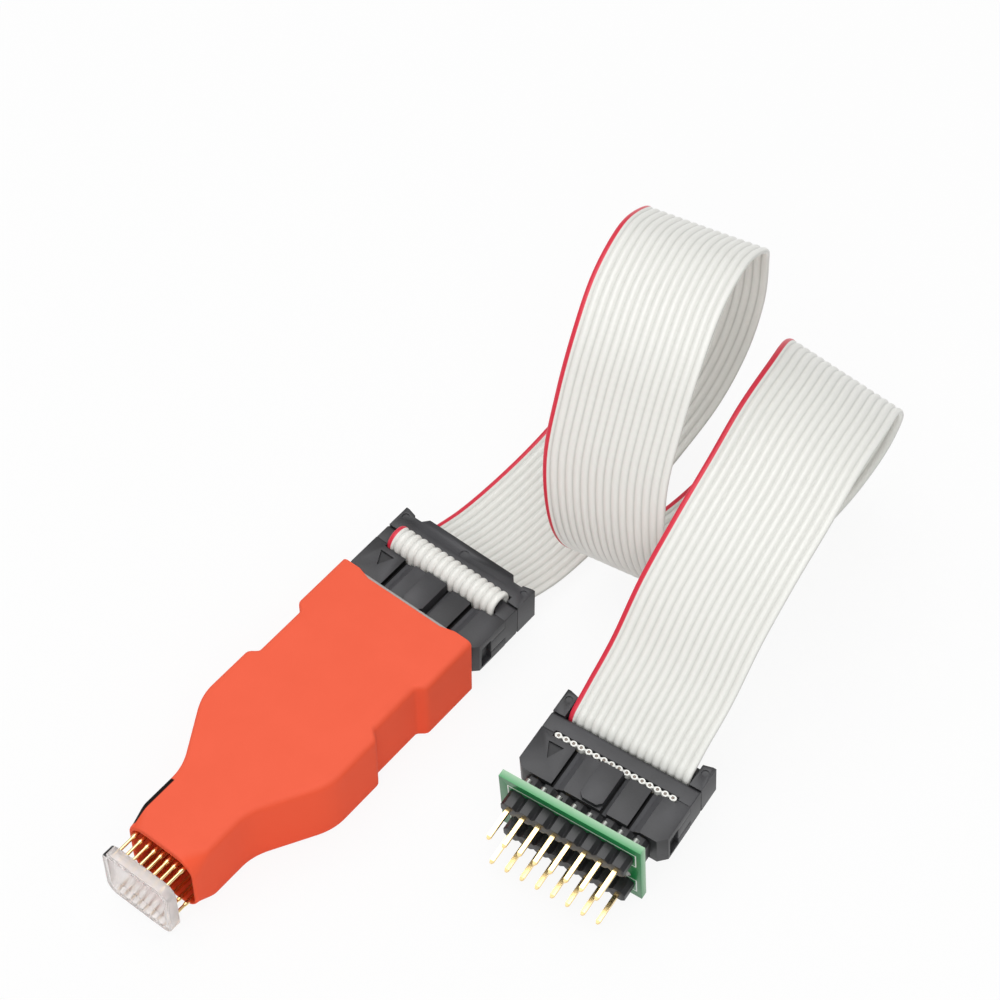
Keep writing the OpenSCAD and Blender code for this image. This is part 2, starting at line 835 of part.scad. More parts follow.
module plug_a_cover() {
  color("dimgray")
  at_plug_a()
  plug_cover();
}

module plug_a_relief() {
  color("dimgray")
  at_plug_a()
  plug_relief();
}

module ribbon_fold_a() {
  color("gainsboro")
  at_plug_a()
  band(concat(fold_line, exit_line));
}

module plug_b_body() {
  color("dimgray")
  at_plug_b()
  plug_body();
}

module plug_b_contacts() {
  color("gold")
  at_plug_b()
  plug_contacts();
}

module plug_b_cover() {
  color("dimgray")
  at_plug_b()
  plug_cover();
}

module plug_b_relief() {
  color("dimgray")
  at_plug_b()
  rotate([180, 0, 0])
  plug_relief();
}

module ribbon_fold_b() {
  color("gainsboro")
  at_plug_b()
  rotate([180, 0, 0])
  band(concat(fold_line, lift_line));
}

// Curve through the points k to k + 1 of the path, at t from 0 to 1, and its direction
function curve(k, t) =
  let (a = path[k], b = path[k + 1], c = path[k + 2], d = path[k + 3])
  0.5 * (2 * b + (c - a) * t + (2 * a - 5 * b + 4 * c - d) * t * t + (3 * b - a - 3 * c + d) * t * t * t);

function slope(k, t) =
  let (a = path[k], b = path[k + 1], c = path[k + 2], d = path[k + 3])
  (c - a) + 2 * (2 * a - 5 * b + 4 * c - d) * t + 3 * (3 * b - a - 3 * c + d) * t * t;

ribbon_at = concat(
  [for (k = [0:spans - 1]) for (i = [0:rings_per_span - 1]) [k, i / rings_per_span]],
  [[spans - 1, 1]]
);

// Flat eight-sided section across the path
function ribbon_ring(k, t) =
  let (
    p = curve(k, t),
    v = slope(k, t),
    across = [sin(p[3]) * cos(p[4]), -cos(p[3]) * cos(p[4]), sin(p[4])],
    up = unit(cross([v[0], v[1], v[2]], across)),
    a = ribbon_w / 2,
    b = ribbon_t / 2,
    c = 0.2
  )
  [for (q = [
    [a, b - c], [a - c, b], [c - a, b], [-a, b - c],
    [-a, c - b], [c - a, -b], [a - c, -b], [a, c - b]
  ])
    [p[0], p[1], p[2]] + q[0] * across + q[1] * up];

module ribbon_cable() {
  color("gainsboro")
  polyhedron(
    points = flat([for (r = ribbon_at) ribbon_ring(r[0], r[1])]),
    faces = skin(len(ribbon_at), 8, false),
    convexity = 10
  );
}

module adapter_board() {
  color("seagreen")
  at_plug_b()
  difference() {
    translate([adapter_front, adapter_shift - adapter_w / 2, -adapter_h / 2])
    cube([adapter_t, adapter_w, adapter_h]);
    for (p = concat(header_at, strip_at))
      translate([adapter_front - 1, p[0], p[1]])
      rotate([0, 90, 0])
      cylinder(h = adapter_t + 2, d = hdr_pin * sqrt(2) + 0.06);
  }
}

cell_y = [for (i = [0:row_pins - 1]) (i - (row_pins - 1) / 2) * hdr_pitch];
strip_at = [for (i = [0:row_pins - 1], k = [-1, 1])
  [(i - (row_pins - 1) / 2) * hdr_pitch, k * strip_gap / 2]];

module adapter_header_base() {
  color("black")
  at_plug_b()
  drilled(adapter_rear, adapter_base, header_at)
  cell_row(adapter_rear, adapter_base, hdr_h / 2, 0);
}

module adapter_header_pins() {
  color("gold")
  at_plug_b()
  for (p = header_at)
    translate([0, p[0], p[1]])
    square_pin(adapter_front - 0.6, hdr_reach - seat - adapter_front + 0.6);
}

// Row of cells with cut corners, one for each pitch, from x on over len
module cell_row(x, len, h, z) {
  w = hdr_pitch / 2;
  c = cell_cut;
  low = concat(
    [[cell_y[0] - w, c - h]],
    flat([for (y = cell_y) [[y - w + c, -h], [y + w - c, -h], [y + w, c - h]]])
  );
  high = [for (q = flip(low)) [q[0], -q[1]]];
  translate([x, 0, z])
  rotate([90, 0, 90])
  linear_extrude(len)
  polygon(concat(low, high));
}

module strip_block(z) {
  x = adapter_front - strip_base;
  drilled(x, strip_base, [for (y = cell_y) [y, z]])
  cell_row(x, strip_base, hdr_pitch / 2, z);
}

module strip_pins(z) {
  for (y = cell_y)
    translate([0, y, z])
    square_pin(adapter_front - strip_base - strip_reach, strip_reach + strip_base + adapter_t + strip_tail);
}

module upper_strip_base() {
  color("black")
  at_plug_b()
  strip_block(strip_gap / 2);
}

module upper_strip_pins() {
  color("gold")
  at_plug_b()
  strip_pins(strip_gap / 2);
}

module lower_strip_base() {
  color("black")
  at_plug_b()
  strip_block(-strip_gap / 2);
}

module lower_strip_pins() {
  color("gold")
  at_plug_b()
  strip_pins(-strip_gap / 2);
}

handle_sleeve();
rear_collar();
header_base();
header_pins();
probe_board();
pin_block_front();
pin_block_rear();
pogo_barrels();
tail_leads();
clear_guide();
for (i = [1:2 * row_pins]) {
  plunger(i);
  spring(i);
}
plug_a_body();
plug_a_contacts();
plug_a_cover();
plug_a_relief();
ribbon_fold_a();
ribbon_cable();
ribbon_fold_b();
plug_b_body();
plug_b_contacts();
plug_b_cover();
plug_b_relief();
adapter_board();
adapter_header_base();
adapter_header_pins();
upper_strip_base();
upper_strip_pins();
lower_strip_base();
lower_strip_pins();
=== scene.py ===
import json
import math

import bmesh
import bpy
import numpy as np
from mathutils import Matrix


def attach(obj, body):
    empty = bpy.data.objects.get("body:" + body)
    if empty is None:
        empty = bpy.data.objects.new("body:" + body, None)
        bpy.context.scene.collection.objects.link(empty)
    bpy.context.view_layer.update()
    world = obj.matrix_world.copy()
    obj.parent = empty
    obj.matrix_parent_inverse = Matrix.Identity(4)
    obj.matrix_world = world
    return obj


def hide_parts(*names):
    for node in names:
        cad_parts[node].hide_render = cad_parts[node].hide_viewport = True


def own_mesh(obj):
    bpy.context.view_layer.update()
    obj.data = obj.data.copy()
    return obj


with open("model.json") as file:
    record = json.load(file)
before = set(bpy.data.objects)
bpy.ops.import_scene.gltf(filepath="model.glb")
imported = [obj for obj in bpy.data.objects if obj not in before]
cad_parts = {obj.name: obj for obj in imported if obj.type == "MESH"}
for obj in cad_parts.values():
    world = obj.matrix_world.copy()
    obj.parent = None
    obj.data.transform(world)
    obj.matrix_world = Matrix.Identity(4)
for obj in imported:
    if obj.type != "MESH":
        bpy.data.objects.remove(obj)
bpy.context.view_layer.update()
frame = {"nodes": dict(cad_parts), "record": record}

mm = 0.001
cadNodes = frame["nodes"]
bodies = frame["record"]["behaviour"]["bodies"]
bodyOfNode = {node: body for body, names in bodies.items() for node in names}


# sRGB values 0-255 as the linear colour that sockets take
def paint(r, g, b):
    c = np.array([r, g, b]) / 255
    linear = np.where(c <= 0.04045, c / 12.92, ((c + 0.055) / 1.055) ** 2.4)
    return (*[float(v) for v in linear], 1.0)


# camera

cameraView = {
    "azimuth": -51.012,  # degrees
    "elevation": 52.54,
    "distance": 477.33,  # mm
    "target": (52.184, 6.975, 0.0),
    "lens": 110.53,
    "sensor": 36,
    "clip": (0.01, 20),  # metres
}


def placeCamera(v):
    a, e = math.radians(v["azimuth"]), math.radians(v["elevation"])
    back = np.array([math.sin(a) * math.cos(e), -math.cos(a) * math.cos(e), math.sin(e)])
    data = bpy.data.cameras.new("photoCamera")
    data.sensor_width = v["sensor"]
    data.lens = v["lens"]
    data.clip_start, data.clip_end = v["clip"]
    camera = bpy.data.objects.new("photoCamera", data)
    camera.location = (np.array(v["target"]) + v["distance"] * back) * mm
    camera.rotation_euler = (math.pi / 2 - e, 0, a)
    bpy.context.collection.objects.link(camera)
    bpy.context.scene.camera = camera


placeCamera(cameraView)
print("camera placed")


# mesh tools

meshRules = {
    "mergeWithin": 1e-7,  # metres
    "cadMergeWithin": 2e-6,
    "flatWithin": 0.5,  # degrees between faces that are made one
    "sharpFrom": 75,
    "bevelFrom": 35,
    "bevelSteps": 2,
}


# quads of a grid of rows by cols points, wrapped round where asked
def gridQuads(rows, cols, wrapRows=False, wrapCols=False):
    r = np.arange(rows if wrapRows else rows - 1)[:, None]
    c = np.arange(cols if wrapCols else cols - 1)[None, :]
    r2, c2 = (r + 1) % rows, (c + 1) % cols
    corners = [r * cols + c, r2 * cols + c, r2 * cols + c2, r * cols + c2]
    shape = np.broadcast_shapes(r.shape, c.shape)
    return np.stack([np.broadcast_to(k, shape).ravel() for k in corners], 1)


# faces of a tube of rows by cols points: the quads round it and a cap at each end
def tubeFaces(rows, cols):
    quads = gridQuads(rows, cols, wrapCols=True)[:, ::-1]
    caps = [list(range(cols)), list(range((rows - 1) * cols, rows * cols))[::-1]]
    return quads, caps


# six times the volume inside the faces, from the triple product of each face's fan of triangles
def signedVolume(points, faces):
    total = 0.0
    for size in {len(f) for f in faces}:
        f = np.array([q for q in faces if len(q) == size])
        for k in range(1, size - 1):
            a, b, c = points[f[:, 0]], points[f[:, k]], points[f[:, k + 1]]
            total += np.einsum("ij,ij->", a, np.cross(b, c))
    return total


# one closed piece in metres from points in mm, with its faces turned outwards
def makePiece(name, points, quads, body, material, caps=(), replaces=(), strandMap=None):
    points = points.reshape(-1, 3)
    faces = [list(q) for q in quads.tolist()] + [list(c) for c in caps]
    if signedVolume(points, faces) < 0:
        faces = [f[::-1] for f in faces]
    mesh = bpy.data.meshes.new(name)
    mesh.from_pydata((points * mm).tolist(), [], faces)
    if strandMap is not None:
        layer = mesh.uv_layers.new(name="strandMap")
        corner = np.empty(len(mesh.loops), dtype=np.int32)
        mesh.loops.foreach_get("vertex_index", corner)
        layer.data.foreach_set("uv", strandMap.reshape(-1, 2)[corner].astype(np.float32).ravel())
    tidy = bmesh.new()
    tidy.from_mesh(mesh)
    bmesh.ops.remove_doubles(tidy, verts=tidy.verts, dist=meshRules["mergeWithin"])
    tidy.to_mesh(mesh)
    tidy.free()
    mesh.polygons.foreach_set("use_smooth", np.ones(len(mesh.polygons), dtype=bool))
    mesh.set_sharp_from_angle(angle=math.radians(meshRules["sharpFrom"]))
    mesh.materials.append(material)
    mesh.update()
    piece = bpy.data.objects.new(name, mesh)
    bpy.context.collection.objects.link(piece)
    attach(piece, body)
    if replaces:
        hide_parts(*replaces)
    return piece


# a merged copy of a CAD node whose edges are broken by a small bevel; others pairs a further material
# with the test of face middles and normals that picks its faces, and cuts holds the planes, each a point
# and a direction, that part those faces from the rest
def softEdged(node, name, width, material, others=(), cuts=()):
    mesh = cadNodes[node].data.copy()
    mesh.name = name
    tidy = bmesh.new()
    tidy.from_mesh(mesh)
    bmesh.ops.remove_doubles(tidy, verts=tidy.verts, dist=meshRules["cadMergeWithin"])
    flat = math.radians(meshRules["flatWithin"])
    bmesh.ops.dissolve_limit(tidy, angle_limit=flat, verts=tidy.verts, edges=tidy.edges)
    for point, way in cuts:
        whole = [*tidy.verts, *tidy.edges, *tidy.faces]
        point = np.array(point) * mm
        bmesh.ops.bisect_plane(tidy, geom=whole, dist=meshRules["mergeWithin"], plane_co=point, plane_no=way)
    tidy.to_mesh(mesh)
    tidy.free()
    mesh.polygons.foreach_set("use_smooth", np.ones(len(mesh.polygons), dtype=bool))
    mesh.materials.clear()
    mesh.materials.append(material)
    middles, normals = np.empty((2, len(mesh.polygons) * 3), dtype=np.float32)
    mesh.polygons.foreach_get("center", middles)
    mesh.polygons.foreach_get("normal", normals)
    index = np.zeros(len(mesh.polygons), dtype=np.int32)
    for k, (extra, pick) in enumerate(others):
        mesh.materials.append(extra)
        index[pick(middles.reshape(-1, 3) / mm, normals.reshape(-1, 3))] = k + 1
    mesh.polygons.foreach_set("material_index", index)
    piece = bpy.data.objects.new(name, mesh)
    bpy.context.collection.objects.link(piece)
    bevel = piece.modifiers.new("edgeBreak", "BEVEL")
    bevel.width = width * mm
    bevel.segments = meshRules["bevelSteps"]
    bevel.limit_method = "ANGLE"
    bevel.angle_limit = math.radians(meshRules["bevelFrom"])
    bevel.harden_normals = True
    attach(piece, bodyOfNode[node])
    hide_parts(node)
    return piece


# materials


def newMaterial(name, colour, roughness, metallic=0.0):
    material = bpy.data.materials.new(name)
    material.use_nodes = True
    shader = material.node_tree.nodes["Principled BSDF"]
    shader.inputs["Base Color"].default_value = colour
    shader.inputs["Roughness"].default_value = roughness
    shader.inputs["Metallic"].default_value = metallic
    return material, material.node_tree, shader


def addNode(tree, kind, **values):
    node = tree.nodes.new(kind)
    for key, value in values.items():
        setattr(node, key, value)
    return node


def mathNode(tree, operation, a, b=0.0):
    node = addNode(tree, "ShaderNodeMath", operation=operation)
    for socket, value in zip(node.inputs, (a, b)):
        if isinstance(value, (int, float)):
            socket.default_value = value
        else:
            tree.links.new(value, socket)
    return node.outputs[0]


# 0 below low, 1 above high, straight between
def rampNode(tree, value, low, high):
    node = addNode(tree, "ShaderNodeMapRange")
    node.inputs["From Min"].default_value = low
    node.inputs["From Max"].default_value = high
    tree.links.new(value, node.inputs["Value"])
    return node.outputs["Result"]


def rampInMm(tree, value, low, high):
    return rampNode(tree, value, low * mm, high * mm)


def mixColour(tree, mask, a, b):
    node = addNode(tree, "ShaderNodeMix", data_type="RGBA")
    tree.links.new(mask, node.inputs["Factor"])
    for socket, value in zip((node.inputs[6], node.inputs[7]), (a, b)):
        if isinstance(value, tuple):
            socket.default_value = value
        else:
            tree.links.new(value, socket)
    return node.outputs[2]


grainForm = {
    "fineDetail": 3,
    "slowScale": 140,
    "slowDetail": 2,
    "depth": 0.00004,  # metres
}


# fine moulded grain on Object coordinates: a bumped normal and a slow tone from 0 to 1
def buildGrainGroup(f):
    group = bpy.data.node_groups.new("mouldedGrain", "ShaderNodeTree")
    for label in ("Scale", "Depth"):
        group.interface.new_socket(label, in_out="INPUT", socket_type="NodeSocketFloat")
    group.interface.new_socket("Tone", in_out="OUTPUT", socket_type="NodeSocketFloat")
    group.interface.new_socket("Normal", in_out="OUTPUT", socket_type="NodeSocketVector")
    entry = addNode(group, "NodeGroupInput")
    leave = addNode(group, "NodeGroupOutput")
    place = addNode(group, "ShaderNodeTexCoord")
    fine = addNode(group, "ShaderNodeTexNoise")
    slow = addNode(group, "ShaderNodeTexNoise")
    bump = addNode(group, "ShaderNodeBump")
    fine.inputs["Detail"].default_value = f["fineDetail"]
    slow.inputs["Scale"].default_value = f["slowScale"]
    slow.inputs["Detail"].default_value = f["slowDetail"]
    bump.inputs["Distance"].default_value = f["depth"]
    links = group.links
    links.new(place.outputs["Object"], fine.inputs["Vector"])
    links.new(place.outputs["Object"], slow.inputs["Vector"])
    links.new(entry.outputs["Scale"], fine.inputs["Scale"])
    links.new(entry.outputs["Depth"], bump.inputs["Strength"])
    links.new(fine.outputs["Fac"], bump.inputs["Height"])
    links.new(slow.outputs["Fac"], leave.inputs["Tone"])
    links.new(bump.outputs["Normal"], leave.inputs["Normal"])
    return group


grainGroup = buildGrainGroup(grainForm)


def addGrain(tree, shader, scale, depth):
    grain = addNode(tree, "ShaderNodeGroup", node_tree=grainGroup)
    grain.inputs["Scale"].default_value = scale
    grain.inputs["Depth"].default_value = depth
    tree.links.new(grain.outputs["Normal"], shader.inputs["Normal"])
    return grain.outputs["Tone"]


sleeveFinish = {
    "orange": paint(242, 103, 76),
    "deepOrange": paint(235, 97, 70),
    # painted shade: the darker, redder colour of the sides below the upper side
    "shadedSideOrange": paint(241, 93, 62),
    "litUpperFrom": (11.9, 12.5),  # mm, painted light: the upper side is paler from here up, the sides below carry painted shade
    "ink": paint(22, 20, 20),
    "roughness": 0.6,
    "specular": 0.06,
    "grain": (2600, 0.25),
    "inkX": (-30.9, -22.5),  # mm along the nose
    "inkFade": 0.2,
    "inkY": (5.2, 5.35),
    "inkSide": (5.55, 5.65),  # beyond it at any height
    "inkTop": (10.8, 10.9),  # and above it
}


# soft orange with a slow change of tone, painted light that makes the upper side paler and painted
# shade that makes the sides darker, and the black first-pin stripe on the side of the nose
def makeSleeveRubber(f):
    material, tree, shader = newMaterial("sleeveRubber", f["orange"], f["roughness"])
    shader.inputs["Specular IOR Level"].default_value = f["specular"]
    tone = addGrain(tree, shader, *f["grain"])
    place = addNode(tree, "ShaderNodeTexCoord")
    parts = addNode(tree, "ShaderNodeSeparateXYZ")
    tree.links.new(place.outputs["Object"], parts.inputs[0])
    side = rampInMm(tree, parts.outputs["Y"], *f["inkY"])
    first, last = f["inkX"]
    front = rampInMm(tree, parts.outputs["X"], first, first + f["inkFade"])
    rear = rampInMm(tree, parts.outputs["X"], last, last - f["inkFade"])
    outside = rampInMm(tree, parts.outputs["Y"], *f["inkSide"])
    above = rampInMm(tree, parts.outputs["Z"], *f["inkTop"])
    side = mathNode(tree, "MULTIPLY", side, mathNode(tree, "MAXIMUM", outside, above))
    stripe = mathNode(tree, "MULTIPLY", mathNode(tree, "MULTIPLY", front, rear), side)
    # painted light and shade: the upper side paler, the sides below darker
    litUpper = rampInMm(tree, parts.outputs["Z"], *f["litUpperFrom"])
    orange = mixColour(tree, tone, f["deepOrange"], f["orange"])
    orange = mixColour(tree, litUpper, f["shadedSideOrange"], orange)
    tree.links.new(mixColour(tree, stripe, orange, f["ink"]), shader.inputs["Base Color"])
    return material


ribbonFinish = {
    "white": paint(236, 236, 231),
    # painted shade in the valleys between the strands
    "valleyShade": paint(204, 204, 199),
    "valleyShadeAt": (0.32, 0.5),  # in strands from a strand's middle
    "red": paint(216, 46, 68),
    "redTo": (0.62, 0.7),  # in strands from the edge
    "cutEnd": (0.02, 0.06),  # mm along the ribbon, pale at the cut
    "roughness": 0.36,
    "specular": 0.4,
    "grain": (1800, 0.12),
}


# pale vinyl with painted shade between the strands, with the first strand red: the strand map's u counts
# strands from the red edge
def makeRibbonVinyl(f):
    material, tree, shader = newMaterial("ribbonVinyl", f["white"], f["roughness"])
    shader.inputs["Specular IOR Level"].default_value = f["specular"]
    addGrain(tree, shader, *f["grain"])
    strands = addNode(tree, "ShaderNodeUVMap", uv_map="strandMap")
    parts = addNode(tree, "ShaderNodeSeparateXYZ")
    tree.links.new(strands.outputs["UV"], parts.inputs[0])
    first = rampNode(tree, parts.outputs["X"], *f["redTo"][::-1])
    skin = rampNode(tree, parts.outputs["Y"], *f["cutEnd"])
    stripe = mathNode(tree, "MULTIPLY", first, skin)
    # painted shade, darkest midway between two strands
    part = mathNode(tree, "FRACT", parts.outputs["X"])
    off = mathNode(tree, "ABSOLUTE", mathNode(tree, "SUBTRACT", part, 0.5))
    valleyShade = mixColour(tree, rampNode(tree, off, *f["valleyShadeAt"]), f["white"], f["valleyShade"])
    tree.links.new(mixColour(tree, stripe, valleyShade, f["red"]), shader.inputs["Base Color"])
    return material


toneSpread = (0.35, 0.65)  # of the slow tone, between the deep colour and the main one


# one colour, with moulded grain where its scale and depth are given and a slow change to a deep colour
def makePlain(name, colour, roughness, metallic=0.0, grain=None, specular=0.5, deep=None):
    material, tree, shader = newMaterial(name, colour, roughness, metallic)
    shader.inputs["Specular IOR Level"].default_value = specular
    if grain:
        tone = addGrain(tree, shader, *grain)
        if deep:
            spread = rampNode(tree, tone, *toneSpread)
            tree.links.new(mixColour(tree, spread, deep, colour), shader.inputs["Base Color"])
    return material


guideFinish = {
    "clear": paint(252, 247, 245),
    "ink": paint(14, 13, 14),
    "inkFrom": (5.3, 9.95),  # y and z in mm, the corner of the first pin
    "roughness": (0.17, 0.23),
    "ior": 1.49,
    "transmission": 0.68,
    "specular": 0.476,
    "grain": (2200, 0.05),
}


# slightly milky clear acrylic, faintly scuffed: its roughness follows the slow tone of the grain
def makeClearAcrylic(f):
    material, tree, shader = newMaterial("clearAcrylic", f["clear"], f["roughness"][0])
    shader.inputs["IOR"].default_value = f["ior"]
    shader.inputs["Transmission Weight"].default_value = f["transmission"]
    shader.inputs["Specular IOR Level"].default_value = f["specular"]
    tone = addGrain(tree, shader, *f["grain"])
    low, high = f["roughness"]
    scuff = mathNode(tree, "ADD", mathNode(tree, "MULTIPLY", tone, high - low), low)
    tree.links.new(scuff, shader.inputs["Roughness"])
    return material


sleeveRubber = makeSleeveRubber(sleeveFinish)
ribbonVinyl = makeRibbonVinyl(ribbonFinish)
clearAcrylic = makeClearAcrylic(guideFinish)
guideInk = makePlain("guideInk", guideFinish["ink"], 0.4, grain=(2200, 0.1), specular=0.1)
plugPlastic = makePlain("plugPlastic", paint(56, 56, 59), 0.5, grain=(3200, 0.35), deep=paint(40, 40, 42))
# the ledges a paler copy of the plug plastic: painted light where they face the lamps
litLedgePlastic = makePlain("litLedgePlastic", paint(72, 72, 75), 0.5, grain=(3200, 0.35))
plugMark = makePlain("plugMark", paint(34, 34, 36), 0.6)
stripPlastic = makePlain("stripPlastic", paint(34, 34, 36), 0.45, grain=(3200, 0.3))
# light grey on the collar's rim: a painted highlight for glare on its edge
collarGlintGrey = makePlain("collarGlintGrey", paint(176, 176, 173), 0.5)
goldPlate = makePlain("goldPlate", paint(244, 216, 156), 0.2, metallic=1.0)
solderTin = makePlain("solderTin", paint(150, 152, 148), 0.45, metallic=0.8)
springSteel = makePlain("springSteel", paint(190, 190, 192), 0.3, metallic=1.0)
# pale orange-brown pin blocks: painted bounce light from the orange sleeve inside the nose
blockBounceOrange = makePlain("blockBounceOrange", paint(190, 80, 50), 0.6)
wireCore = makePlain("wireCore", paint(120, 110, 102), 0.45, metallic=0.6)
print("materials made")


# ribbon

plugForm = {
    "x": 22.3,  # mating face of plug A
    "z": 6.6,
    "bodyDepth": 7.1,
    "length": 14.5,
    "halfThick": 3.05,
    "slotX": 10.63,  # middle of the ribbon behind the cover
    "foldRise": 1.5,
    "foldGap": 0.05,
    "runZ": -2.55,
    "bendR": 0.6,
    "liftR": 2.0,
    "liftZ": 1.6,
    "liftAngle": 22.0,
    "liftRun": 0.4,
    "steps": {"rise": 6, "over": 25, "down": 4, "bend": 11, "run": 3},
}
adapterForm = {"x": 12.2, "y": -41.6, "z": 7.3811, "yaw": 5.7, "tilt": 5.3}
ribbonForm = {
    "strands": 16,
    "pitch": 1.27,
    "lobe": (0.52, 0.45, 0.62),  # half width and half height of a strand, half width at the ribbon's edges
    "lobeAngles": (-66, -44, -22, 0, 22, 44, 66),
    "web": 0.14,  # half height between strands
    "stepsPerSpan": 8,
    "reach": 3.0,  # mm to the further point that sets the slope at each end
    # the route of part.scad: x, y, z in mm, then turn and tilt of the width in degrees
    "route": [
        (45, -0.8, 2.5, -1, -1),
        (55, -1.1, 1.9, -1, -1),
        (64.5, -1.4, 2.8, -1, -1),
        (73, -2, 6, 0, -1),
        (81, -3, 11.5, 1, -1),
        (86.5, -3.5, 19, 3, -2),
        (88.5, -4, 28.5, 7, -2),
        (87.5, -4.5, 38, 10, -1),
        (82.6, -6.8, 45.6, 13, 1),
        (74.6, -8.8, 50.6, 14, 3),
        (65.4, -11.1, 50.3, 14, 5),
        (57.5, -13.6, 46.6, 13, 7),
        (51.9, -15, 39.3, 12, 9),
        (47.1, -16.5, 30.3, 10, 10),
        (44.6, -19, 20.8, 7, 10),
        (46, -20.6, 13, 5, 9),
        (50.7, -22.2, 7.9, 2, 7),
        (57.5, -23.7, 4, 0, 4),
        (65.7, -24.8, 1.7, -2, -1),
        (75, -25.5, 1.5, -1, -4),
        (83.5, -27, 5.5, 0, -8),
        (89, -28.5, 12.5, 2, -10),
        (89.2, -30.3, 21.9, 4, -10),
        (84, -32.2, 29.8, 5, -10),
        (76, -34.7, 34.4, 6, -8),
        (66.3, -36.6, 35.8, 7, -6),
        (56.8, -38.2, 34.2, 6, -4),
        (48, -39.1, 30.9, 6, -2),
        (39.8, -39.5, 25.1, 6, -2),
        (32.9, -40, 18.5, 5, -1),
        (27.3, -40.2, 14.3, 5, 0),
    ],
}


# points of plug B's own frame in the row frame: tilt about Y, then turn about Z, then shift
def toPlugB(points):
    f = adapterForm
    t, w = math.radians(f["tilt"]), math.radians(f["yaw"])
    p = np.asarray(points, dtype=float)
    x = p[..., 0] * math.cos(t) - p[..., 2] * math.sin(t)
    z = p[..., 0] * math.sin(t) + p[..., 2] * math.cos(t)
    turnedX = x * math.cos(w) - p[..., 1] * math.sin(w)
    turnedY = x * math.sin(w) + p[..., 1] * math.cos(w)
    return np.stack([turnedX, turnedY, z], -1) + np.array([f["x"], f["y"], f["z"]])


def toPlugA(points):
    return np.asarray(points, dtype=float) + np.array([plugForm["x"], 0, plugForm["z"]])


# outline of the ribbon across its width: an ellipse over each strand, a thin web between, as
# (offset across, offset up, strand count from the red edge)
def ribbonOutline(f):
    n = f["strands"]
    wide, high, edge = f["lobe"]
    middle = (np.arange(n) - (n - 1) / 2) * f["pitch"]
    phi = np.radians(f["lobeAngles"])
    half = len(phi) // 2
    reach = np.full((n, len(phi)), wide)
    reach[0, :half] = reach[-1, -half:] = edge
    across = middle[:, None] + np.column_stack([reach * np.sin(phi), np.full(n, f["pitch"] / 2)])
    up = np.tile(np.append(high * np.cos(phi), f["web"]), (n, 1))
    across[-1, -1] = middle[-1] + edge
    up[-1, -1] = 0
    across = np.append(middle[0] - edge, across.ravel())
    up = np.append(0, up.ravel())
    across = np.concatenate([across, across[-2:0:-1]])
    up = np.concatenate([up, -up[-2:0:-1]])
    return across, up, across / f["pitch"] + n / 2


# the outline carried along a line of middles, along each point's width and upward directions
def sweepRibbon(middles, widths, ups, outline):
    across, up, count = outline
    points = middles[:, None] + across[None, :, None] * widths[:, None]
    points = points + up[None, :, None] * ups[:, None]
    run = np.append(0, np.cumsum(np.linalg.norm(np.diff(middles, axis=0), axis=1)))
    grid = np.stack(np.broadcast_arrays(count[None, :], run[:, None]), -1)
    return points, grid


def unitRows(v):
    return v / np.linalg.norm(v, axis=-1, keepdims=True)


# cubic through the route points, with its slope: each span uses its four nearest points
def ribbonRoute(f):
    p = plugForm
    lift = math.radians(p["liftAngle"])
    way = np.array([math.cos(lift), 0, math.sin(lift)])
    bendX = p["slotX"] + p["liftR"] * (1 - math.sin(lift))
    bendZ = p["liftZ"] + p["liftR"] * math.cos(lift)
    end = np.array([bendX, 0, bendZ]) + p["liftRun"] * way
    start = np.array([p["x"] + p["length"], 0, p["z"] + p["runZ"], 0, 0])
    yaw = adapterForm["yaw"]
    path = np.array(
        [
            start - np.array([f["reach"], 0, 0, 0, 0]),
            start,
            *f["route"],
            [*toPlugB(end), yaw, 0],
            [*toPlugB(end - f["reach"] * way), yaw, 0],
        ]
    )
    t = np.arange(f["stepsPerSpan"]) / f["stepsPerSpan"]
    a, b, c, d = (path[k : len(path) - 3 + k][:, None] for k in range(4))
    u = np.append(t, 1.0)[None, :, None]
    first, second, third = c - a, 2 * a - 5 * b + 4 * c - d, 3 * b - a - 3 * c + d
    spot = 0.5 * (2 * b + first * u + second * u**2 + third * u**3)
    slope = first + 2 * second * u + 3 * third * u**2
    keep = np.ones(spot.shape[:2], dtype=bool)
    keep[:-1, -1] = False  # a span's end is the next one's start
    return spot[keep], slope[keep]


# the outline carried along the route, its width turned and tilted as the route says
def makeRibbon(f):
    spot, slope = ribbonRoute(f)
    yaw, tilt = np.radians(spot[:, 3]), np.radians(spot[:, 4])
    widths = np.stack([np.sin(yaw) * np.cos(tilt), -np.cos(yaw) * np.cos(tilt), np.sin(tilt)], -1)
    ups = unitRows(np.cross(slope[:, :3], widths))
    points, grid = sweepRibbon(spot[:, :3], widths, ups, ribbonOutline(f))
    quads, caps = tubeFaces(*points.shape[:2])
    piece = makePiece(
        "ribbonLead", points, quads, "cable", ribbonVinyl, caps, ["ribbon_cable"], grid
    )
    return piece, spot[:, :3]


